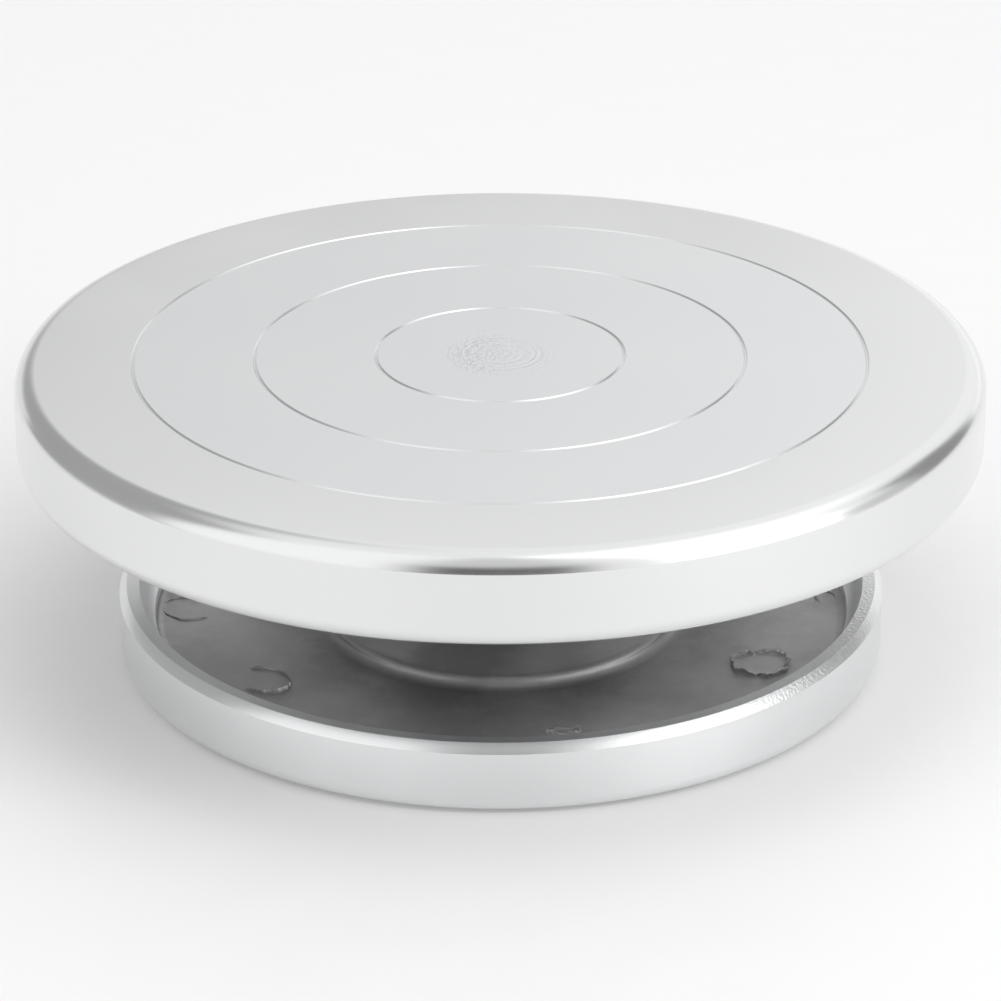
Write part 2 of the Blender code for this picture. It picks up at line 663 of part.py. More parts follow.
def main():
    turntable_axis = axis_empty("turntable_axis", 0.0)
    make_disc().parent = turntable_axis
    make_spindle(turntable_axis)
    make_spindle_screws(turntable_axis)
    make_spacer(turntable_axis)
    make_washer(turntable_axis)
    make_lock_nut(turntable_axis)
    make_dish()
    make_feet()
    make_dust_seal()
    make_retaining_ring()
    make_cover()
    make_cover_screws()
    make_bearing("upper", UPPER_BEARING_BOTTOM, turntable_axis)
    make_bearing("lower", LOWER_BEARING_BOTTOM, turntable_axis)


main()
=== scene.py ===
"""The finished look of a cake turntable.

A turned cast-aluminium disc on a ball-bearing spindle, in a cast dish base.
"""

import json
import math

import bmesh
import bpy
from mathutils import Matrix, Vector, noise

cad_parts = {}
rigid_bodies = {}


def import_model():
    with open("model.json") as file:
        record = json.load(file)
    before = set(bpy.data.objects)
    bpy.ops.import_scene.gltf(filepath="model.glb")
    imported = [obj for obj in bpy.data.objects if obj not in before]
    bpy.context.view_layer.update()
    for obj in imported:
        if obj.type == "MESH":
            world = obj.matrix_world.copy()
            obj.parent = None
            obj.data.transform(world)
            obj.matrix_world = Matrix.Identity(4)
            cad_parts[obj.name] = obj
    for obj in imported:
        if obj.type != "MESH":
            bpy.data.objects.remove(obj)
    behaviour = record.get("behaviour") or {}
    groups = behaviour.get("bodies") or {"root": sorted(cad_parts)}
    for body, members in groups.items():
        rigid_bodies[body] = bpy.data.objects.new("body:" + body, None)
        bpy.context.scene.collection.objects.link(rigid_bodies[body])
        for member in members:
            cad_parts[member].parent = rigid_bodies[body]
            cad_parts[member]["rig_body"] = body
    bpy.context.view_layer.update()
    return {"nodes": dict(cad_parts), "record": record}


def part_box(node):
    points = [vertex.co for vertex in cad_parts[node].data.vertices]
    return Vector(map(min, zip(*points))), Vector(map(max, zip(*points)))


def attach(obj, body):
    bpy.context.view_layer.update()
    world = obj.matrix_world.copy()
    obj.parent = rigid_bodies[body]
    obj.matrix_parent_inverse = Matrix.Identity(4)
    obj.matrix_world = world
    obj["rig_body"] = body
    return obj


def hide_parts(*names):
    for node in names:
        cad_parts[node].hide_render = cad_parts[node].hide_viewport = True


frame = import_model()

MM = 0.001

# Places taken from the frame
DISC_LOW, DISC_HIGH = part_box("turntable_disc")
DISH_LOW, DISH_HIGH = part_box("base_dish")
SPINDLE_LOW, SPINDLE_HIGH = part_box("spindle")
RACE_LOW, RACE_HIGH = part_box("upper_outer_race")

# Roundness of the turned pieces
BIG_SEGMENTS = 384
SMALL_SEGMENTS = 96

# Disc
DISC_RADIUS = DISC_HIGH.x
DISC_TOP = DISC_HIGH.z
DISC_BOTTOM = DISC_LOW.z
EDGE_ROUND = 7.0 * MM
EDGE_END = 14.0
LOWER_ROUND = 6.5 * MM
LOWER_START = 9.0
SKIRT_WALL = 5.5 * MM
DISC_UNDERSIDE = DISC_TOP - 6.0 * MM
HUB_RADIUS = 34.0 * MM
GROOVE_RADII = [38.4 * MM, 75.9 * MM, 113.4 * MM]
GROOVE_HALF_WIDTH = 0.6 * MM
GROOVE_DEPTH = 0.5 * MM
GROOVE_FLOOR_HALF = 0.12 * MM
DISC_RIBS = 6
DISC_RIB_DEPTH_AT_HUB = 7.0 * MM
DISC_RIB_DEPTH_AT_SKIRT = 4.0 * MM
RIB_WIDTH = 4.0 * MM
RIB_EMBED = 1.5 * MM  # how far a rib reaches into the plate above it

# Base dish, heights from the underside of its rim
DISH_RADIUS = DISH_HIGH.x
RIM_Z = DISH_LOW.z
RIM_HEIGHT = 21.4 * MM
RIM_INNER = 114.0 * MM
RIM_SHOULDER = 118.1 * MM
SHOULDER_DROP = 2.8 * MM
SHOULDER_BOW = 7.0
CORNER_HEIGHT = 3.8 * MM
CORNER_INSET = 1.8 * MM
FLOOR = 7.5 * MM
FLOOR_UNDERSIDE = 3.5 * MM
PLATEAU = 11.3 * MM
PLATEAU_FOOT = 58.7 * MM
PLATEAU_SPREAD = 5.9 * MM
PLATEAU_ROUND = 2.6 * MM
PLATEAU_HOLLOW = 3.9 * MM
PLATEAU_STEEPEST = 25.0
PLATEAU_EDGE = 53.9 * MM
PLATEAU_UNDERSIDE = 6.0 * MM
HOUSING_RADIUS = 28.0 * MM
HOUSING_FOOT = 33.0 * MM
HOUSING_BOTTOM = 4.0 * MM
HOUSING_STEP = 17.5 * MM
DISH_RIBS = 8
FEET = 4
FEET_FIRST_ANGLE = math.radians(45.0)

# Holes for screws, with the circles that they stand on
SPINDLE_SCREWS = 4
SPINDLE_SCREW_CIRCLE = 22.0 * MM
SPINDLE_SCREW_HOLE = 2.8 * MM
SPINDLE_SCREW_FIRST_ANGLE = math.radians(45.0)
COVER_SCREWS = 3
COVER_SCREW_CIRCLE = 26.0 * MM
COVER_SCREW_HOLE = 2.3 * MM

# Bearings
BEARING_RADIUS = RACE_HIGH.x
BALL_PITCH = 14.25 * MM
BALL_RADIUS = 3.373 * MM
BALLS = 8
GAP = 0.3 * MM
JOURNAL = 8.5 * MM

# Camera in front of the object, looking down at it
CAMERA_TARGET = 45.76 * MM
CAMERA_DISTANCE = 1.34574
CAMERA_ELEVATION = math.radians(24.185)
CAMERA_ROLL = math.radians(-0.188)
CAMERA_LENS = 154.03
CAMERA_SENSOR = 36.0

# Floor, just below the feet so that the two don't share a plane
FLOOR_RADIUS = 6.0
FLOOR_DROP = 0.2 * MM
FLOOR_SHADE = 0.68
FLOOR_GLOW = 0.15


# ---------------------------------------------------------------- shapes

def arc(center, radii, start, end, steps):
    """Points of an elliptical arc in the turned profile, from angle start to angle end in degrees."""
    angles = [math.radians(start + (end - start) * i / steps) for i in range(steps + 1)]
    return [(center[0] + radii[0] * math.cos(a), center[1] + radii[1] * math.sin(a)) for a in angles]


def bow(start, end, half_angle, steps):
    """Points of a shallow arc from start to end that bulges outwards.

    half_angle is half the turn of its normal, in degrees.
    """
    chord = Vector(end) - Vector(start)
    outward = Vector((-chord.y, chord.x)).normalized()
    radius = chord.length / 2 / math.sin(math.radians(half_angle))
    center = (Vector(start) + Vector(end)) / 2 - outward * radius * math.cos(math.radians(half_angle))
    middle = math.degrees(math.atan2(outward.y, outward.x))
    return arc(center, (radius, radius), middle + half_angle, middle - half_angle, steps)


def smooth(t):
    t = min(max(t, 0.0), 1.0)
    return t * t * (3.0 - 2.0 * t)


def blend_curve(start, end, steps):
    """Points from start to end, level at both ends, like the fillets of a casting."""
    return [(start[0] + (end[0] - start[0]) * i / steps, start[1] + (end[1] - start[1]) * smooth(i / steps))
            for i in range(steps + 1)]


def lifted(points, height):
    return [(radius, z + height) for radius, z in points]


def lathe(name, zones, looks, segments=SMALL_SEGMENTS, closed=False):
    """Turns a profile about Z. zones are (look number, points); the profile runs down its outer side.

    A closed profile is a ring; any other begins and ends on the axis.
    """
    rows, row_looks = [], []
    for look, points in zones:
        for radius, height in points:
            if rows and math.dist(rows[-1], (radius, height)) < 1e-6:
                continue
            rows.append((radius, height))
            row_looks.append(look)
    shape = bmesh.new()
    rings = []
    for radius, height in rows:
        if radius < 1e-6:
            rings.append([shape.verts.new((0.0, 0.0, height))])
            continue
        turns = [math.tau * k / segments for k in range(segments)]
        rings.append([shape.verts.new((radius * math.cos(t), radius * math.sin(t), height)) for t in turns])
    pairs = list(zip(rings, rings[1:], row_looks[1:]))
    if closed:
        pairs.append((rings[-1], rings[0], row_looks[0]))
    for upper, lower, look in pairs:
        for k in range(segments):
            following = (k + 1) % segments
            if len(upper) == 1:
                corners = [upper[0], lower[k], lower[following]]
            elif len(lower) == 1:
                corners = [upper[k], lower[0], upper[following]]
            else:
                corners = [upper[k], lower[k], lower[following], upper[following]]
            shape.faces.new(corners).material_index = look
    return mesh_object(name, shape, looks)


def mesh_object(name, shape, looks):
    mesh = bpy.data.meshes.new(name)
    shape.to_mesh(mesh)
    shape.free()
    for look in looks:
        mesh.materials.append(look)
    obj = bpy.data.objects.new(name, mesh)
    bpy.context.scene.collection.objects.link(obj)
    return obj


def shade(obj, sharp_angle=32.0):
    obj.data.shade_smooth()
    obj.data.set_sharp_from_angle(angle=math.radians(sharp_angle))
    return obj


def crisp(obj, radius, height):
    """Keeps the line at this radius and height sharp."""
    points = [v.co for v in obj.data.vertices]
    on_line = [abs(p.to_2d().length - radius) < 0.02 * MM and abs(p.z - height) < 0.02 * MM for p in points]
    for edge in obj.data.edges:
        if on_line[edge.vertices[0]] and on_line[edge.vertices[1]]:
            edge.use_edge_sharp = True


def around(count, circle, first=0.0):
    """Angle and place of each of count points, evenly spaced on a circle about the axis."""
    angles = [first + math.tau * i / count for i in range(count)]
    return [(a, Vector((circle * math.cos(a), circle * math.sin(a), 0.0))) for a in angles]


def add_cylinder(shape, radius, low, high, place=Vector(), sides=48):
    matrix = Matrix.Translation(place + Vector((0.0, 0.0, (low + high) / 2)))
    return bmesh.ops.create_cone(shape, cap_ends=True, segments=sides, radius1=radius, radius2=radius,
                                 depth=high - low, matrix=matrix)["verts"]


def combine(obj, shape, operation, looks):
    """Joins a bmesh to an object, or cuts it away, and applies the result to the object's mesh."""
    bmesh.ops.recalc_face_normals(shape, faces=shape.faces)
    other = mesh_object("tool", shape, looks)
    modifier = obj.modifiers.new(operation, "BOOLEAN")
    modifier.operation = operation
    modifier.object = other
    modifier.solver = "EXACT"
    evaluated = obj.evaluated_get(bpy.context.evaluated_depsgraph_get())
    mesh = bpy.data.meshes.new_from_object(evaluated)
    obj.modifiers.clear()
    obj.data = mesh
    bpy.data.objects.remove(other)


def rib_shape(count, inner, outer, width, top, depth_inner, depth_outer, first=0.0):
    """Radial casting ribs with rounded lower edges, to be joined under a plate."""
    shape = bmesh.new()
    for turn, _ in around(count, 1.0, first):
        size = Matrix.Diagonal((outer - inner, width, depth_inner, 1.0))
        center = Matrix.Translation(((inner + outer) / 2, 0.0, top - depth_inner / 2))
        verts = bmesh.ops.create_cube(shape, size=1.0, matrix=center @ size)["verts"]
        low = [v for v in verts if v.co.z < top - depth_inner / 2]
        for vert in low:
            vert.co.y *= 0.8  # draft
            if vert.co.x > (inner + outer) / 2:
                vert.co.z = top - depth_outer
        edges = [e for v in low for e in v.link_edges
                 if all(w in low for w in e.verts) and abs(e.verts[0].co.x - e.verts[1].co.x) > width]
        rounded = bmesh.ops.bevel(shape, geom=list(set(edges)), offset=width * 0.22, segments=4,
                                  affect="EDGES", profile=0.5)
        verts = list({v for v in verts if v.is_valid} | {v for f in rounded["faces"] for v in f.verts})
        bmesh.ops.rotate(shape, verts=verts, matrix=Matrix.Rotation(turn, 3, "Z"))
    return shape


# ---------------------------------------------------------------- materials

class Nodes:
    """Adds nodes to one tree. Inputs are numbers, colours or the outputs of other nodes."""

    def __init__(self, tree):
        self.tree = tree

    def add(self, kind, inputs=(), **settings):
        made = self.tree.nodes.new(kind)
        for key, value in settings.items():
            setattr(made, key, value)
        for key, value in dict(inputs).items():
            if isinstance(value, bpy.types.NodeSocket):
                self.tree.links.new(value, made.inputs[key])
            else:
                made.inputs[key].default_value = value
        return made

    def math(self, operation, a, b=0.0):
        return self.add("ShaderNodeMath", {0: a, 1: b}, operation=operation).outputs[0]

    def ramp(self, value, low, high, start=0.0, end=1.0):
        inputs = {"Value": value, "From Min": low, "From Max": high, "To Min": start, "To Max": end}
        made = self.add("ShaderNodeMapRange", inputs, interpolation_type="SMOOTHSTEP")
        return made.outputs["Result"]

    def mix(self, share, a, b):
        made = self.add("ShaderNodeMix", data_type="FLOAT")
        for key, value in ((0, share), (2, a), (3, b)):
            if isinstance(value, bpy.types.NodeSocket):
                self.tree.links.new(value, made.inputs[key])
            else:
                made.inputs[key].default_value = value
        return made.outputs[0]

    def tint(self, share, a, b):
        """A colour between two colours."""
        made = self.add("ShaderNodeMix", data_type="RGBA")
        self.tree.links.new(share, made.inputs[0])
        for key, value in ((6, a), (7, b)):
            if isinstance(value, bpy.types.NodeSocket):
                self.tree.links.new(value, made.inputs[key])
            else:
                made.inputs[key].default_value = (*value, 1.0)
        return made.outputs[2]

    def noise(self, vector, scale, detail=2.0, roughness=0.5):
        inputs = {"Vector": vector, "Scale": scale, "Detail": detail, "Roughness": roughness}
        return self.add("ShaderNodeTexNoise", inputs).outputs["Fac"]

    def rings(self, radius, pitch, detail=2.0):
        """Irregular concentric rings of about a pitch, as a lathe tool leaves."""
        along = self.math("DIVIDE", radius, pitch)
        inputs = {"W": along, "Scale": 1.0, "Detail": detail, "Roughness": 0.6}
        return self.add("ShaderNodeTexNoise", inputs, noise_dimensions="1D").outputs["Fac"]

    def place(self):
        """Object position, distance from the turning axis, and the position's separate parts."""
        position = self.add("ShaderNodeTexCoord").outputs["Object"]
        parts = self.add("ShaderNodeSeparateXYZ", {0: position}).outputs
        across, along = (self.math("MULTIPLY", part, part) for part in (parts[0], parts[1]))
        squares = self.math("ADD", across, along)
        return position, self.math("SQRT", squares), parts

    def bump(self, height, depth, before=None):
        inputs = {"Height": height, "Distance": depth, "Strength": 1.0}
        if before is not None:
            inputs["Normal"] = before
        return self.add("ShaderNodeBump", inputs).outputs["Normal"]


def new_material(name, metallic, roughness, color=(0.8, 0.8, 0.8), anisotropy=0.0):
    """A material's nodes and its Principled shader, with its even values on the shader's own sockets.

    With anisotropy it is lathe-turned: its shine spreads across the turning rings, and not along them.
    """
    made = bpy.data.materials.new(name)
    made.use_nodes = True
    shader = made.node_tree.nodes["Principled BSDF"]
    shader.inputs["Base Color"].default_value = (*color, 1.0)
    shader.inputs["Metallic"].default_value = metallic
    shader.inputs["Roughness"].default_value = roughness
    made.diffuse_color = (*color, 1.0)
    nodes = Nodes(made.node_tree)
    if anisotropy:
        shader.inputs["Anisotropic"].default_value = anisotropy
        shader.inputs["Anisotropic Rotation"].default_value = 0.25
        rings = nodes.add("ShaderNodeTangent", direction_type="RADIAL", axis="Z")
        nodes.tree.links.new(rings.outputs[0], shader.inputs["Tangent"])
    return made, nodes, shader


def connect(nodes, shader, **sockets):
    for name, value in sockets.items():
        nodes.tree.links.new(value, shader.inputs[name.replace("_", " ")])


def disc_top_metal():
    """The disc's turned top: smooth rings, and coarse marks and speckle round the centre."""
    made, nodes, shader = new_material("turned_top_aluminium", 1.0, 0.24)
    position, radius, parts = nodes.place()
    centre = nodes.ramp(radius, 12.0 * MM, 20.0 * MM, 1.0, 0.0)
    coarse = nodes.rings(radius, 1.7 * MM, 0.0)
    speckle = nodes.noise(position, 800.0, 1.0)
    left = nodes.ramp(parts[0], -14.0 * MM, 6.0 * MM, 1.0, 0.2)
    grooved = nodes.math("MULTIPLY", centre, nodes.ramp(coarse, 0.48, 0.62))
    spots = nodes.math("MULTIPLY", nodes.math("MULTIPLY", centre, left), nodes.ramp(speckle, 0.50, 0.58))
    marks = nodes.math("ADD", nodes.math("MULTIPLY", grooved, 0.35), spots)
    normal = nodes.bump(marks, -0.12 * MM, nodes.bump(nodes.rings(radius, 2.4 * MM, 1.0), 0.0015 * MM))
    cloud = nodes.noise(position, 14.0, 3.0)
    broad = nodes.math("MULTIPLY", nodes.rings(radius, 9.0 * MM, 1.0), 0.018)
    plain = nodes.tint(cloud, (0.79, 0.80, 0.81), (0.83, 0.835, 0.84))
    dulled = nodes.math("ADD", nodes.math("MULTIPLY", grooved, 0.12), nodes.math("MULTIPLY", spots, 0.45))
    connect(nodes, shader, Base_Color=nodes.tint(dulled, plain, (0.66, 0.67, 0.68)), Normal=normal,
            Roughness=nodes.math("ADD", nodes.ramp(cloud, 0.3, 0.7, 0.28, 0.305), broad))
    return made


def disc_edge_metal():
    """The disc's round edge and side, turned with a fine feed."""
    made, nodes, shader = new_material("turned_edge_aluminium", 1.0, 0.24, anisotropy=0.6)
    position, radius, parts = nodes.place()
    travel = nodes.math("SUBTRACT", radius, parts[2])
    cloud = nodes.noise(position, 18.0, 3.0)
    connect(nodes, shader, Base_Color=nodes.tint(cloud, (0.79, 0.80, 0.795), (0.83, 0.84, 0.835)),
            Roughness=nodes.ramp(cloud, 0.3, 0.7, 0.19, 0.23),
            Normal=nodes.bump(nodes.rings(travel, 2.2 * MM, 1.0), 0.0015 * MM))
    return made


def rim_metal():
    """The base's turned rim: coarser feed rings, with chatter and specks on its flat and shoulder."""
    made, nodes, shader = new_material("turned_rim_aluminium", 1.0, 0.30, anisotropy=0.7)
    position, radius, parts = nodes.place()
    travel = nodes.math("SUBTRACT", radius, parts[2])
    upper = nodes.ramp(parts[2], RIM_Z + 16.5 * MM, RIM_Z + 19.0 * MM)
    patch = nodes.ramp(nodes.noise(position, 14.0, 1.0), 0.45, 0.62, 0.15, 1.0)
    sideways = nodes.ramp(nodes.math("ABSOLUTE", parts[0]), 55.0 * MM, 95.0 * MM, 0.25, 1.0)
    specks = nodes.noise(position, 1000.0, 1.0)
    leftmost = nodes.ramp(parts[0], -108.0 * MM, -70.0 * MM, 2.2, 1.0)
    rough = nodes.math("MULTIPLY", nodes.math("MULTIPLY", upper, sideways), leftmost)
    chatter = nodes.math("MULTIPLY", rough, nodes.math("MULTIPLY", specks, patch))
    normal = nodes.bump(chatter, 0.16 * MM, nodes.bump(nodes.rings(travel, 1.6 * MM, 1.0), 0.003 * MM))
    cloud = nodes.noise(position, 22.0, 3.0)
    connect(nodes, shader, Base_Color=nodes.tint(cloud, (0.83, 0.84, 0.845), (0.88, 0.885, 0.89)),
            Roughness=nodes.ramp(cloud, 0.3, 0.7, 0.285, 0.335), Normal=normal)
    return made


def cast_metal(name, metallic, dark, light):
    """Aluminium as it left the mould, with soft lumps and grain.

    Its colour carries painted shade and light by radius: darkest in the corner round the raised middle, deep
    under the disc, a little lighter on the raised middle, and lighter out toward the wall and the disc's
    edge, where light comes in under the disc. A random stain lies over that.
    """
    made, nodes, shader = new_material(name, metallic, 0.42)
    position, radius, parts = nodes.place()
    lumps = nodes.noise(position, 60.0, 2.0)
    grain = nodes.noise(position, 700.0, 4.0, 0.65)
    normal = nodes.bump(grain, 0.03 * MM, nodes.bump(lumps, 0.10 * MM))
    stain = nodes.ramp(nodes.noise(position, 30.0, 4.0, 0.6), 0.35, 0.7, 0.0, 0.3)
    # painted shade and light: the colour is darkest at the foot of the raised middle, a little lighter on
    # top of it, and lighter out toward the wall
    middle = nodes.ramp(radius, 54.0 * MM, 59.0 * MM, 0.3, 0.0)
    painted_light_by_radius = nodes.math("MAXIMUM", middle, nodes.ramp(radius, 60.0 * MM, 92.0 * MM, 0.0, 0.5))
    # painted light: the colour lightens out toward the disc's edge, where light comes in under the disc
    painted_light_at_edge = nodes.ramp(radius, 104.0 * MM, 138.0 * MM, 0.0, 0.4)
    # the random stain plus the painted shade and light by radius
    share = nodes.math("ADD", nodes.math("ADD", stain, painted_light_by_radius), painted_light_at_edge)
    connect(nodes, shader, Base_Color=nodes.tint(share, dark, light),
            Roughness=nodes.ramp(grain, 0.3, 0.7, 0.36, 0.48), Normal=normal)
    return made


def machined_metal(name, color, roughness, pitch, depth):
    """Bright machined steel or aluminium with fine rings and a slight stain."""
    made, nodes, shader = new_material(name, 1.0, roughness, color)
    position, radius, parts = nodes.place()
    travel = nodes.math("ADD", radius, nodes.math("MULTIPLY", parts[2], 0.9))
    cloud = nodes.noise(position, 120.0, 3.0)
    darker = tuple(c * 0.86 for c in color)
    connect(nodes, shader, Base_Color=nodes.tint(cloud, darker, color),
            Roughness=nodes.ramp(cloud, 0.3, 0.7, roughness * 0.85, roughness * 1.2),
            Normal=nodes.bump(nodes.rings(travel, pitch), depth))
    return made


def plated_metal():
    """Zinc plate: pale and slightly blue, with a fine spangle."""
    made, nodes, shader = new_material("zinc_plate", 1.0, 0.3)
    position, radius, parts = nodes.place()
    spangle = nodes.noise(position, 900.0, 2.0)
    cloud = nodes.noise(position, 140.0, 3.0)
    connect(nodes, shader, Base_Color=nodes.tint(cloud, (0.58, 0.60, 0.63), (0.70, 0.72, 0.75)),
            Roughness=nodes.ramp(spangle, 0.3, 0.7, 0.28, 0.40),
            Normal=nodes.bump(spangle, 0.004 * MM))
    return made


def rubber():
    """Black moulded rubber with a fine grain, greyer where it is dusty."""
    made, nodes, shader = new_material("black_rubber", 0.0, 0.75, (0.03, 0.03, 0.03))
    position, radius, parts = nodes.place()
    grain = nodes.noise(position, 1600.0, 3.0)
    dust = nodes.ramp(nodes.noise(position, 160.0, 3.0), 0.45, 0.75)
    connect(nodes, shader, Base_Color=nodes.tint(dust, (0.022, 0.022, 0.023), (0.06, 0.06, 0.058)),
            Roughness=nodes.ramp(grain, 0.3, 0.7, 0.62, 0.85), Normal=nodes.bump(grain, 0.02 * MM))
    return made


TURNED_TOP = disc_top_metal()
TURNED_EDGE = disc_edge_metal()
TURNED_RIM = rim_metal()
CAST = cast_metal("cast_aluminium", 0.85, (0.27, 0.27, 0.275), (0.70, 0.70, 0.705))
CAST_HIDDEN = cast_metal("cast_aluminium_underside", 0.5, (0.30, 0.30, 0.305), (0.70, 0.70, 0.705))
BORED = machined_metal("bored_aluminium", (0.78, 0.79, 0.80), 0.34, 0.4 * MM, 0.003 * MM)
GROUND = machined_metal("ground_steel", (0.58, 0.58, 0.60), 0.22, 0.25 * MM, 0.001 * MM)
POLISHED = machined_metal("polished_bearing_steel", (0.68, 0.69, 0.71), 0.10, 0.3 * MM, 0.0004 * MM)
SHEET = machined_metal("rolled_sheet_steel", (0.60, 0.61, 0.62), 0.34, 0.8 * MM, 0.001 * MM)
PRESSED = machined_metal("pressed_cage_steel", (0.50, 0.50, 0.52), 0.36, 0.8 * MM, 0.002 * MM)
ZINC = plated_metal()
RUBBER = rubber()


# ---------------------------------------------------------------- pieces

SLOTS = {part["node"]: part["material_slot"] for part in frame["record"]["subparts"]}


def stand_for(obj, node):
    """Puts a finished piece in a CAD node's place: its body, and instead of it in the picture."""
    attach(obj, frame["nodes"][node]["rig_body"])
    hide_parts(node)
    return obj


def make_disc():
    top, bottom, under = DISC_TOP, DISC_BOTTOM, DISC_UNDERSIDE
    edge = DISC_RADIUS - EDGE_ROUND * math.cos(math.radians(EDGE_END))
    turned = [(0.0, top)]
    for radius in GROOVE_RADII:
        turned += [
            (radius - GROOVE_HALF_WIDTH, top),
            (radius - GROOVE_FLOOR_HALF, top - GROOVE_DEPTH),
            (radius + GROOVE_FLOOR_HALF, top - GROOVE_DEPTH),
            (radius + GROOVE_HALF_WIDTH, top),
        ]
    inner = DISC_RADIUS - SKIRT_WALL
    lower = DISC_RADIUS - LOWER_ROUND * math.cos(math.radians(LOWER_START))
    lower_end = math.acos((inner - lower) / LOWER_ROUND)
    lower_z = bottom + LOWER_ROUND * math.sin(lower_end)
    rounding = arc((edge, top - EDGE_ROUND), (EDGE_ROUND, EDGE_ROUND), 90.0, EDGE_END, 24)
    rounding += arc((lower, lower_z), (LOWER_ROUND, LOWER_ROUND), -LOWER_START, -math.degrees(lower_end), 20)
    cast = arc((inner - 5.5 * MM, under - 4.0 * MM), (4.0 * MM, 4.0 * MM), 0.0, 90.0, 8)
    cast += arc((HUB_RADIUS + 4.0 * MM, under - 3.0 * MM), (3.0 * MM, 3.0 * MM), 90.0, 180.0, 8)
    hub_face = SPINDLE_HIGH.z - 3.0 * MM + GAP
    cast += arc((HUB_RADIUS - 0.6 * MM, hub_face + 0.6 * MM), (0.6 * MM, 0.6 * MM), 0.0, -90.0, 4)
    pilot = 12.3 * MM
    bored = [(pilot, hub_face), (pilot, hub_face + 3.6 * MM), (0.0, hub_face + 3.6 * MM)]
    looks = [TURNED_TOP, TURNED_EDGE, CAST_HIDDEN, BORED]
    disc = lathe("disc_casting", [(0, turned), (1, rounding), (2, cast), (3, bored)], looks, BIG_SEGMENTS)
    ribs = rib_shape(DISC_RIBS, HUB_RADIUS - 2.0 * MM, inner, RIB_WIDTH, under + RIB_EMBED,
                     DISC_RIB_DEPTH_AT_HUB + RIB_EMBED, DISC_RIB_DEPTH_AT_SKIRT + RIB_EMBED)
    for face in ribs.faces:
        face.material_index = 2
    combine(disc, ribs, "UNION", looks)
    holes = bmesh.new()
    for _, place in around(SPINDLE_SCREWS, SPINDLE_SCREW_CIRCLE, SPINDLE_SCREW_FIRST_ANGLE):
        add_cylinder(holes, SPINDLE_SCREW_HOLE, hub_face - 2.0 * MM, hub_face + 6.6 * MM, place)
    for face in holes.faces:
        face.material_index = 3
    combine(disc, holes, "DIFFERENCE", looks)
    shade(disc)
    crisp(disc, DISC_RADIUS, top - EDGE_ROUND * (1.0 - math.sin(math.radians(EDGE_END))))
    crisp(disc, DISC_RADIUS, lower_z - LOWER_ROUND * math.sin(math.radians(LOWER_START)))
    stand_for(disc, "turntable_disc")


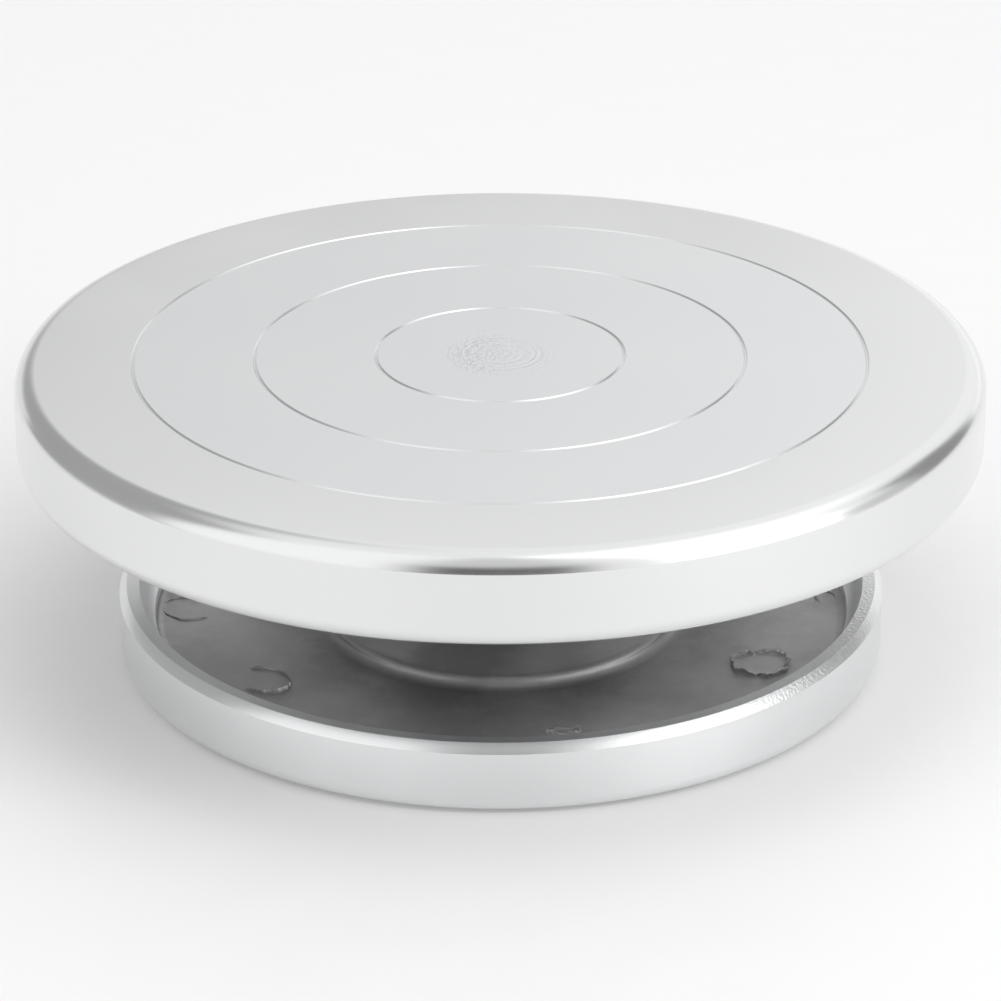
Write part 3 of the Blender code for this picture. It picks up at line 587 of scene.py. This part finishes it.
def make_dish():
    shoulder_end = (DISH_RADIUS, RIM_HEIGHT - SHOULDER_DROP)
    shoulder = bow((RIM_SHOULDER, RIM_HEIGHT), shoulder_end, SHOULDER_BOW, 12)
    corner_center = (DISH_RADIUS - CORNER_INSET, CORNER_HEIGHT)
    corner = arc(corner_center, (CORNER_INSET, CORNER_HEIGHT), 0.0, -90.0, 12)
    rim = [(RIM_INNER, RIM_HEIGHT - 0.25 * MM), (RIM_INNER + 0.25 * MM, RIM_HEIGHT)] + shoulder + corner
    rim += [(DISH_RADIUS - 10.0 * MM, 0.0)]
    under = [(DISH_RADIUS - 10.4 * MM, 0.3 * MM)]
    under += arc((DISH_RADIUS - 12.9 * MM, FLOOR_UNDERSIDE - 2.0 * MM), (2.0 * MM, 2.0 * MM), 0.0, 90.0, 6)
    under += blend_curve((PLATEAU_FOOT - 1.0 * MM, FLOOR_UNDERSIDE),
                         (PLATEAU_EDGE - 2.0 * MM, PLATEAU_UNDERSIDE), 8)
    under += [(HOUSING_FOOT + 1.0 * MM, PLATEAU_UNDERSIDE)]
    under += [(HOUSING_FOOT + 0.3 * MM, PLATEAU_UNDERSIDE - 0.6 * MM)]
    under += [(HOUSING_FOOT, HOUSING_BOTTOM + 0.5 * MM), (HOUSING_FOOT - 0.5 * MM, HOUSING_BOTTOM)]
    seat = BEARING_RADIUS + GAP
    lower_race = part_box("lower_outer_race")
    ring_high = lower_race[0].z - RIM_Z
    ring_low = ring_high - 2.2 * MM
    lower_step = lower_race[1].z - RIM_Z + GAP
    upper_step = RACE_LOW.z - RIM_Z - GAP
    top = DISH_HIGH.z - RIM_Z
    ring_groove = seat + 1.2 * MM
    bore = [(seat, HOUSING_BOTTOM), (seat, ring_low), (ring_groove, ring_low), (ring_groove, ring_high)]
    bore += [(seat, ring_high), (seat, lower_step), (HOUSING_STEP, lower_step), (HOUSING_STEP, upper_step)]
    bore += [(seat, upper_step), (seat, top - 0.4 * MM), (seat + 0.4 * MM, top)]
    bore += arc((HOUSING_RADIUS - 1.5 * MM, top - 1.0 * MM), (1.0 * MM, 1.0 * MM), 90.0, 10.0, 5)
    column = arc((HOUSING_FOOT, PLATEAU + 4.5 * MM), (4.5 * MM, 4.5 * MM), 180.0, 270.0, 8)
    column += arc((PLATEAU_FOOT - PLATEAU_SPREAD, PLATEAU - PLATEAU_ROUND), (PLATEAU_ROUND, PLATEAU_ROUND),
                  90.0, PLATEAU_STEEPEST, 16)
    column += arc((PLATEAU_FOOT, FLOOR + PLATEAU_HOLLOW), (PLATEAU_HOLLOW, PLATEAU_HOLLOW),
                  180.0 + PLATEAU_STEEPEST, 270.0, 8)
    wall_foot = RIM_INNER - 7.8 * MM
    column += arc((wall_foot, FLOOR + 3.0 * MM), (3.0 * MM, 3.0 * MM), -90.0, -14.0, 8)
    ledge = [(RIM_INNER - 4.5 * MM, FLOOR + 4.3 * MM), (RIM_INNER - 1.8 * MM, FLOOR + 7.1 * MM)]
    zones = [(0, rim), (1, under), (2, bore), (1, column), (0, ledge)]
    zones = [(look, lifted(points, RIM_Z)) for look, points in zones]
    looks = [TURNED_RIM, CAST, BORED]
    dish = lathe("dish_casting", zones, looks, BIG_SEGMENTS, closed=True)
    rib_top, rib_bottom = RIM_Z + FLOOR_UNDERSIDE + RIB_EMBED, RIM_Z + 0.8 * MM
    depth = rib_top - rib_bottom
    ribs = rib_shape(DISH_RIBS, PLATEAU_FOOT - 3.0 * MM, DISH_RADIUS - 9.5 * MM, RIB_WIDTH, rib_top,
                     depth, depth, math.pi / DISH_RIBS)
    foot_low, foot_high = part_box("rubber_foot_1")
    foot_radius = (foot_high.x - foot_low.x) / 2
    circle = ((foot_low + foot_high) / 2).to_2d().length
    for _, place in around(FEET, circle, FEET_FIRST_ANGLE):
        add_cylinder(ribs, foot_radius + 3.0 * MM, RIM_Z + 0.2 * MM, rib_top, place, 64)
    for face in ribs.faces:
        face.material_index = 1
    combine(dish, ribs, "UNION", looks)
    holes = bmesh.new()
    for _, place in around(FEET, circle, FEET_FIRST_ANGLE):
        add_cylinder(holes, foot_radius + GAP, 0.0, foot_high.z + GAP, place, 64)
    for _, place in around(COVER_SCREWS, COVER_SCREW_CIRCLE):
        add_cylinder(holes, COVER_SCREW_HOLE, RIM_Z + 2.0 * MM, RIM_Z + HOUSING_BOTTOM + 7.5 * MM, place)
    for face in holes.faces:
        face.material_index = 1
    combine(dish, holes, "DIFFERENCE", looks)
    add_casting_marks(dish, looks)
    shade(dish)
    crisp(dish, RIM_SHOULDER, RIM_Z + RIM_HEIGHT)
    crisp(dish, DISH_RADIUS, RIM_Z + RIM_HEIGHT - SHOULDER_DROP)
    stand_for(dish, "base_dish")


def casting_ridge(shape, center, size, turn, width, height, seed, gap=0.0):
    """A thin uneven fin of metal along an oval on the dish floor, as a joint in the mould leaves.

    gap is the share of the oval that it leaves open. The fin reaches below the floor, to join the casting.
    """
    steps, rings = 96, []
    open_from = math.tau * (1.0 - gap)
    for k in range(steps + (1 if gap else 0)):
        t = open_from * k / steps
        uneven = noise.noise(Vector((math.cos(t) * 1.7 + seed, math.sin(t) * 1.7, seed * 0.37)))
        rough = noise.noise(Vector((math.cos(t) * 9.0, math.sin(t) * 9.0, seed * 2.1)))
        radius = 1.0 + 0.12 * uneven + 0.03 * rough
        along = Vector((size[0] * radius * math.cos(t), size[1] * radius * math.sin(t), 0.0))
        outward = Vector((along.x / size[0] ** 2, along.y / size[1] ** 2, 0.0)).normalized()
        end = min(1.0, min(k, steps - k) / 6.0) if gap else 1.0
        tall = height * (0.35 + 0.65 * smooth(0.5 + 1.1 * uneven) + 0.35 * rough) * (0.15 + 0.85 * end)
        half = width * (0.75 + 0.4 * rough) / 2
        section = [(-half, -0.4 * MM), (-half * 0.9, tall * 0.35), (-half * 0.35, tall * 0.9),
                   (half * 0.1, tall), (half * 0.6, tall * 0.7), (half, tall * 0.1), (half, -0.4 * MM)]
        ring = []
        for side, up in section:
            point = along + outward * side + Vector((0.0, 0.0, up))
            point.rotate(Matrix.Rotation(turn, 3, "Z"))
            ring.append(shape.verts.new(point + center))
        rings.append(ring)
    pairs = list(zip(rings, rings[1:])) if gap else list(zip(rings, rings[1:] + rings[:1]))
    for before, after in pairs:
        for i in range(len(before)):
            j = (i + 1) % len(before)
            shape.faces.new([before[i], before[j], after[j], after[i]])
    if gap:
        shape.faces.new(list(reversed(rings[0])))
        shape.faces.new(rings[-1])


def casting_flake(shape, center, turn):
    """A low ragged lip of metal round a thin flat patch on the dish floor."""
    steps = 120
    outline = []
    for k in range(steps):
        t = math.tau * k / steps
        waist = 1.0 - 0.30 * math.exp(-((math.sin(t) - 1.0) / 0.35) ** 2)
        ragged = 0.13 * noise.noise(Vector((math.cos(t) * 3.1, math.sin(t) * 3.1, 4.2)))
        ragged += 0.08 * noise.noise(Vector((math.cos(t) * 9.0, math.sin(t) * 9.0, 1.3)))
        radius = waist + ragged
        outline.append(Vector((9.2 * MM * radius * math.cos(t), 9.8 * MM * radius * math.sin(t), 0.0)))
    # share of the outline, height above the floor and how much it varies: up the lip, then in to the middle
    layers = [(0.93, -0.4, 0.0), (0.94, 0.2, 0.0), (0.99, 0.7, 0.6), (1.00, 1.1, 1.0), (0.98, 1.25, 1.0),
              (0.95, 0.9, 0.8), (0.93, 0.45, 0.3), (0.88, 0.3, 0.0), (0.60, 0.3, 0.0), (0.30, 0.35, 0.0)]
    rings = []
    for share, height, wave in layers:
        ring = []
        for k, edge_point in enumerate(outline):
            t = math.tau * k / steps
            curl = 1.0 + wave * 0.9 * noise.noise(Vector((math.cos(t) * 2.2, math.sin(t) * 2.2, 7.7)))
            point = edge_point * share + Vector((0.0, 0.0, height * curl * MM))
            point.rotate(Matrix.Rotation(turn, 3, "Z"))
            ring.append(shape.verts.new(point + center))
        rings.append(ring)
    for lower, upper in zip(rings, rings[1:]):
        for k in range(steps):
            j = (k + 1) % steps
            shape.faces.new([lower[k], lower[j], upper[j], upper[k]])
    shape.faces.new(list(reversed(rings[0])))
    shape.faces.new(rings[-1])


def on_floor(circle, azimuth):
    """A place on the dish floor; azimuth 0 is the front and 90 the right, in degrees."""
    a = math.radians(azimuth)
    return Vector((circle * math.sin(a), -circle * math.cos(a), RIM_Z + FLOOR))


def add_casting_marks(dish, looks):
    """The uneven marks that the mould left on the dish floor, joined to the casting."""
    fins = [
        (on_floor(88.0 * MM, -56.0), (7.6 * MM, 9.0 * MM), 3.9, 0.9 * MM, 1.3 * MM, 3.0, 0.3),
        (on_floor(100.0 * MM, -91.0), (7.2 * MM, 8.8 * MM), 0.9, 0.7 * MM, 0.6 * MM, 8.0, 0.25),
        (on_floor(86.5 * MM, 12.6), (5.0 * MM, 1.8 * MM), 0.1, 0.8 * MM, 1.4 * MM, 5.0, 0.0),
        (on_floor(104.0 * MM, 95.0), (3.0 * MM, 4.5 * MM), 0.0, 0.9 * MM, 0.8 * MM, 11.0, 0.35),
    ]
    for center, size, turn, width, height, seed, gap in fins:
        shape = bmesh.new()
        casting_ridge(shape, center, size, turn, width, height, seed, gap)
        for face in shape.faces:
            face.material_index = 1
        combine(dish, shape, "UNION", looks)
    shape = bmesh.new()
    casting_flake(shape, on_floor(88.6 * MM, 64.6), 0.35)
    for face in shape.faces:
        face.material_index = 1
    combine(dish, shape, "UNION", looks)


def make_spindle():
    """Flange, shoulder, journals and threaded end, with rounded edges and the thread's ridges."""
    flange, pilot, shoulder, thread = SPINDLE_HIGH.x, 12.0 * MM, 10.7 * MM, 8.0 * MM
    pilot_top, end = SPINDLE_HIGH.z, SPINDLE_LOW.z
    flange_top = pilot_top - 3.0 * MM
    flange_bottom = flange_top - 6.2 * MM
    shoulder_bottom = RACE_HIGH.z + GAP
    thread_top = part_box("lower_outer_race")[0].z - GAP
    ease = 0.5 * MM
    ground = [(0.0, pilot_top), (pilot - ease, pilot_top), (pilot, pilot_top - ease), (pilot, flange_top)]
    ground += arc((flange - ease, flange_top - ease), (ease, ease), 90.0, 0.0, 4)
    ground += arc((flange - ease, flange_bottom + ease), (ease, ease), 0.0, -90.0, 4)
    ground += arc((shoulder + ease, flange_bottom - ease), (ease, ease), 90.0, 180.0, 4)
    ground += [(shoulder, shoulder_bottom + ease), (shoulder - ease, shoulder_bottom)]
    ground += [(JOURNAL, shoulder_bottom)]
    ground += [(JOURNAL, thread_top + 0.3 * MM), (JOURNAL - 0.3 * MM, thread_top)]
    pitch = 1.0 * MM
    turns = int((thread_top - end - 2.0 * MM) / pitch)
    for i in range(turns):
        crest = thread_top - 0.5 * MM - i * pitch
        ground += [(thread - 0.45 * MM, crest), (thread, crest - pitch * 0.4), (thread, crest - pitch * 0.6)]
    ground += [(thread - 1.0 * MM, end), (0.0, end)]
    spindle = lathe("spindle_ground", [(0, ground)], [GROUND])
    holes = bmesh.new()
    for _, place in around(SPINDLE_SCREWS, SPINDLE_SCREW_CIRCLE, SPINDLE_SCREW_FIRST_ANGLE):
        add_cylinder(holes, SPINDLE_SCREW_HOLE, flange_bottom - 2.0 * MM, flange_top + 2.0 * MM, place)
    combine(spindle, holes, "DIFFERENCE", [GROUND])
    stand_for(shade(spindle), "spindle")


def make_button_screw(node, head, height, shank):
    """A button-head screw with a hexagon socket, head down, where the CAD screw stands."""
    low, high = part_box(node)
    place = ((low + high) / 2).to_2d().to_3d()
    seat = low.z + height
    profile = [(0.0, high.z), (shank - 0.5 * MM, high.z), (shank, high.z - 0.5 * MM), (shank, seat)]
    profile += [(head - 0.2 * MM, seat), (head, seat - 0.2 * MM)]
    profile += arc((head * 0.42, seat - 0.3 * MM), (head * 0.58, height - 0.3 * MM), 0.0, -90.0, 12)
    profile += [(0.0, low.z)]
    screw = lathe(node + "_finished", [(0, profile)], [ZINC], 48)
    socket = bmesh.new()
    add_cylinder(socket, shank * 0.8, low.z - 1.0 * MM, low.z + height * 0.6, sides=6)
    combine(screw, socket, "DIFFERENCE", [ZINC])
    screw.data.transform(Matrix.Translation(place))
    stand_for(shade(screw), node)


def make_foot(node):
    low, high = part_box(node)
    radius = (high.x - low.x) / 2
    place = ((low + high) / 2).to_2d().to_3d()
    edge, seam = 0.5 * MM, RIM_Z + 0.1 * MM
    profile = [(0.0, high.z), (radius - 0.2 * MM, high.z), (radius, high.z - 0.2 * MM), (radius, seam)]
    profile += arc((radius - edge, low.z + edge), (edge, edge), 0.0, -90.0, 6)
    for groove in (6.0 * MM, 4.2 * MM, 2.4 * MM):
        profile += [(groove + 0.3 * MM, low.z), (groove, low.z + 0.25 * MM), (groove - 0.3 * MM, low.z)]
    profile += [(0.0, low.z)]
    foot = lathe(node + "_finished", [(0, profile)], [RUBBER], 64)
    foot.data.transform(Matrix.Translation(place))
    stand_for(shade(foot), node)


def make_seal():
    low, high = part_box("dust_seal")
    lip = 11.0 * MM
    profile = [(high.x - 0.3 * MM, high.z), (high.x, high.z - 0.3 * MM), (high.x, low.z)]
    profile += [(lip + 2.0 * MM, low.z), (lip + 0.2 * MM, low.z + 0.8 * MM), (lip, low.z + 1.0 * MM)]
    profile += [(lip + 1.0 * MM, high.z - 0.2 * MM)]
    profile += [(lip + 1.4 * MM, high.z), (lip + 4.0 * MM, high.z), (lip + 4.6 * MM, high.z - 0.4 * MM)]
    profile += [(lip + 6.6 * MM, high.z - 0.4 * MM), (lip + 7.2 * MM, high.z)]
    stand_for(shade(lathe("dust_seal_finished", [(0, profile)], [RUBBER], closed=True)), "dust_seal")


def make_ring(node, inner, ease, look):
    """A plain turned ring with eased edges: the spacer sleeve, the washer."""
    low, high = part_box(node)
    outer = high.x
    profile = [(outer - ease, high.z), (outer, high.z - ease), (outer, low.z + ease), (outer - ease, low.z)]
    profile += [(inner + ease, low.z), (inner, low.z + ease), (inner, high.z - ease), (inner + ease, high.z)]
    stand_for(shade(lathe(node + "_finished", [(0, profile)], [look], closed=True), 50.0), node)


def make_nut():
    """The hexagon nut: a turned blank with rounded corners, cut to six flats."""
    low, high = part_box("lock_nut")
    corners = max(high.x, high.y)
    flats = corners * math.cos(math.pi / 6)
    bore, drop = JOURNAL - 0.2 * MM, (corners - flats) * 0.55
    profile = [(flats, high.z), (corners, high.z - drop), (corners, low.z + drop), (flats, low.z)]
    profile += [(bore + 0.6 * MM, low.z), (bore, low.z + 0.6 * MM), (bore, high.z - 0.6 * MM)]
    profile += [(bore + 0.6 * MM, high.z)]
    nut = lathe("lock_nut_finished", [(0, profile)], [ZINC], closed=True)
    hexagon = bmesh.new()
    verts = add_cylinder(hexagon, corners, low.z - 1.0 * MM, high.z + 1.0 * MM, sides=6)
    turn = 0.0 if high.x > high.y else math.pi / 6
    first = min(math.atan2(v.co.y, v.co.x) % (math.pi / 3) for v in verts)
    bmesh.ops.rotate(hexagon, verts=verts, matrix=Matrix.Rotation(turn - first, 3, "Z"))
    combine(nut, hexagon, "INTERSECT", [ZINC])
    stand_for(shade(nut), "lock_nut")


def make_cover():
    """The pressed steel cover, dished in the middle and with a rolled edge."""
    low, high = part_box("bottom_cover")
    outer, thickness, dish, depth = high.x, 1.2 * MM, 15.0 * MM, 1.0 * MM
    step = dish + 1.5 * MM
    flat = high.z - thickness
    profile = [(0.0, high.z - depth)] + blend_curve((dish - 0.4 * MM, high.z - depth), (step, high.z), 8)
    profile += arc((outer - 0.5 * MM, high.z - 0.5 * MM), (0.5 * MM, 0.5 * MM), 90.0, 0.0, 4)
    profile += arc((outer - 0.5 * MM, flat + 0.5 * MM), (0.5 * MM, 0.5 * MM), 0.0, -90.0, 4)
    profile += blend_curve((step, flat), (dish - 0.4 * MM, flat - depth), 8) + [(0.0, low.z)]
    cover = lathe("bottom_cover_finished", [(0, profile)], [SHEET])
    holes = bmesh.new()
    for _, place in around(COVER_SCREWS, COVER_SCREW_CIRCLE):
        add_cylinder(holes, COVER_SCREW_HOLE, low.z - 1.0 * MM, high.z + 1.0 * MM, place)
    combine(cover, holes, "DIFFERENCE", [SHEET])
    stand_for(shade(cover), "bottom_cover")


def make_races(prefix):
    """Both races of a bearing, with their ball grooves and eased corners."""
    groove, ease = BALL_RADIUS + GAP, 0.6 * MM
    # which race, its plain wall, the land beside its groove, and the side of the balls that it holds
    races = (("outer", BEARING_RADIUS, 16.5 * MM, 0.0), ("inner", 8.8 * MM, 12.0 * MM, 180.0))
    for kind, wall, land, middle in races:
        node = f"{prefix}_{kind}_race"
        low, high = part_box(node)
        center = (low.z + high.z) / 2
        inside = -1.0 if kind == "outer" else 1.0
        half_angle = math.degrees(math.acos(abs(land - BALL_PITCH) / groove))
        side = arc((BALL_PITCH, center), (groove, groove), middle - half_angle, middle + half_angle, 12)
        eased = wall + inside * ease
        profile = [(land, low.z)] + side + [(land, high.z), (eased, high.z), (wall, high.z - ease)]
        profile += [(wall, low.z + ease), (eased, low.z)]
        if kind == "inner":
            profile = [(land, high.z)] + side + [(land, low.z), (eased, low.z), (wall, low.z + ease)]
            profile += [(wall, high.z - ease), (eased, high.z)]
        stand_for(shade(lathe(f"{node}_finished", [(0, profile)], [POLISHED], closed=True)), node)


def make_shield(node):
    """A bearing's pressed shield, with a shallow ring pressed into it."""
    low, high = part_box(node)
    outer, inner, thin = high.x, 12.4 * MM, 0.08 * MM
    profile = [(outer, high.z - thin), (outer - 0.2 * MM, low.z), (inner, low.z), (inner, high.z - thin)]
    profile += [(inner + 0.5 * MM, high.z), (inner + 1.2 * MM, high.z), (inner + 1.5 * MM, high.z - thin)]
    profile += [(outer - 0.6 * MM, high.z - thin), (outer - 0.4 * MM, high.z)]
    stand_for(shade(lathe(f"{node}_finished", [(0, profile)], [SHEET], closed=True)), node)


def make_ball(node):
    low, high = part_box(node)
    shape = bmesh.new()
    matrix = Matrix.Translation((low + high) / 2)
    bmesh.ops.create_icosphere(shape, subdivisions=4, radius=BALL_RADIUS, matrix=matrix)
    stand_for(shade(mesh_object(f"{node}_finished", shape, [POLISHED])), node)


def make_bearing(prefix):
    make_races(prefix)
    make_shield(f"{prefix}_shield_top")
    make_shield(f"{prefix}_shield_bottom")
    for i in range(BALLS):
        make_ball(f"{prefix}_ball_{i + 1}")


def finish_carried_nodes():
    """Gives the CAD nodes that still show their own looks."""
    looks = {"ground_steel": GROUND, "cage_steel": PRESSED}
    for node, obj in frame["nodes"].items():
        if not obj.hide_render:
            obj.data.materials.clear()
            obj.data.materials.append(looks[SLOTS[node]])


def make_camera():
    target = Vector((0.0, 0.0, RIM_Z + CAMERA_TARGET))
    across, up = math.cos(CAMERA_ELEVATION), math.sin(CAMERA_ELEVATION)
    place = target + CAMERA_DISTANCE * Vector((0.0, -across, up))
    data = bpy.data.cameras.new("camera")
    data.lens = CAMERA_LENS
    data.sensor_width = CAMERA_SENSOR
    camera = bpy.data.objects.new("camera", data)
    bpy.context.scene.collection.objects.link(camera)
    roll = Matrix.Rotation(CAMERA_ROLL, 4, "Z")
    look = (target - place).to_track_quat("-Z", "Y").to_matrix().to_4x4()
    camera.matrix_world = Matrix.Translation(place) @ look @ roll
    bpy.context.scene.camera = camera


def make_floor():
    made, nodes, shader = new_material("pale_floor", 0.0, 0.6, (FLOOR_SHADE, FLOOR_SHADE, FLOOR_SHADE))
    shader.inputs["Emission Color"].default_value = (1.0, 1.0, 1.0, 1.0)
    shader.inputs["Emission Strength"].default_value = FLOOR_GLOW
    position = nodes.add("ShaderNodeTexCoord").outputs["Object"]
    grain = nodes.noise(position, 40.0, 3.0)
    connect(nodes, shader, Roughness=nodes.ramp(grain, 0.3, 0.7, 0.55, 0.7))
    shape = bmesh.new()
    bmesh.ops.create_circle(shape, cap_ends=True, segments=128, radius=FLOOR_RADIUS)
    floor = mesh_object("floor", shape, [made])
    floor.location.z = -FLOOR_DROP


# Soft panels of the studio, laid over each other in this order. Azimuth 0 is the front and 90 the right.
# azimuth from, azimuth to, elevation from, elevation to, softness of the edge (all in degrees), brightness
STUDIO_LEVEL = 0.97
STUDIO_PANELS = [
    (100.0, 190.0, -50.0, 18.0, 9.0, 0.68),
    (-190.0, -100.0, -50.0, 18.0, 9.0, 0.64),
    (142.0, 170.0, 14.0, 45.0, 9.0, 1.02),
    (140.0, 190.0, -50.0, 7.0, 6.0, 1.1),
    (-158.0, -90.0, -50.0, 48.0, 18.0, 0.40),
    (-190.0, -140.0, -50.0, 6.0, 6.0, 0.85),
    (-76.0, -32.0, 10.0, 76.0, 10.0, 1.10),
    (50.0, 76.0, 8.0, 82.0, 18.0, 2.1),
    (80.0, 135.0, 50.0, 82.0, 12.0, 1.3),
    (86.0, 100.0, -50.0, 16.0, 9.0, 0.65),
    (112.0, 130.0, -50.0, 30.0, 10.0, 0.30),
    (-12.0, 12.0, 40.0, 90.0, 18.0, 0.68),
    (-11.0, 11.0, -50.0, 29.0, 16.0, 0.12),
]


def make_studio():
    world = bpy.data.worlds.new("studio")
    world.use_nodes = True
    bpy.context.scene.world = world
    nodes = Nodes(world.node_tree)
    view = nodes.add("ShaderNodeTexCoord").outputs["Generated"]
    parts = nodes.add("ShaderNodeSeparateXYZ", {0: view}).outputs
    turn = nodes.math("ARCTAN2", parts[0], nodes.math("MULTIPLY", parts[1], -1.0))
    azimuth = nodes.math("MULTIPLY", turn, math.degrees(1.0))
    elevation = nodes.math("MULTIPLY", nodes.math("ARCSINE", parts[2]), math.degrees(1.0))
    level = STUDIO_LEVEL
    for left, right, low, high, soft, brightness in STUDIO_PANELS:
        across = nodes.math("ABSOLUTE", nodes.math("SUBTRACT", azimuth, (left + right) / 2))
        upward = nodes.math("ABSOLUTE", nodes.math("SUBTRACT", elevation, (low + high) / 2))
        half_width, half_height = (right - left) / 2, (high - low) / 2
        share = nodes.math("MULTIPLY", nodes.ramp(across, half_width, half_width + soft, 1.0, 0.0),
                           nodes.ramp(upward, half_height, half_height + soft, 1.0, 0.0))
        level = nodes.mix(share, level, brightness)
    background = world.node_tree.nodes["Background"]
    world.node_tree.links.new(level, background.inputs["Color"])
    background.inputs["Strength"].default_value = 1.0


def make_lamp(name, azimuth, elevation, distance, size, energy):
    """A broad soft lamp aimed at the object, which doesn't show in the metal; azimuth 90 is the right."""
    data = bpy.data.lights.new(name, "AREA")
    data.shape = "DISK"
    data.size = size
    data.energy = energy
    lamp = bpy.data.objects.new(name, data)
    a, e = math.radians(azimuth), math.radians(elevation)
    lamp.location = distance * Vector((math.sin(a) * math.cos(e), -math.cos(a) * math.cos(e), math.sin(e)))
    lamp.rotation_euler = (-lamp.location).to_track_quat("-Z", "Y").to_euler()
    lamp.visible_glossy = False
    bpy.context.scene.collection.objects.link(lamp)


make_camera()
make_floor()
make_studio()
make_lamp("overhead", 25.0, 72.0, 2.3, 2.5, 13.0)
make_lamp("right", 60.0, 31.0, 1.6, 0.5, 3.0)
bpy.context.scene.view_settings.view_transform = "Standard"

make_disc()
make_dish()
make_spindle()
for i in range(SPINDLE_SCREWS):
    make_button_screw(f"spindle_screw_{i + 1}", 4.75 * MM, 2.7 * MM, 2.5 * MM)
for i in range(COVER_SCREWS):
    make_button_screw(f"cover_screw_{i + 1}", 3.8 * MM, 2.2 * MM, 2.0 * MM)
for i in range(FEET):
    make_foot(f"rubber_foot_{i + 1}")
make_seal()
make_ring("spacer_sleeve", 8.8 * MM, 0.4 * MM, GROUND)
make_ring("spindle_washer", 8.3 * MM, 0.2 * MM, ZINC)
make_nut()
make_cover()
make_bearing("upper")
make_bearing("lower")
finish_carried_nodes()
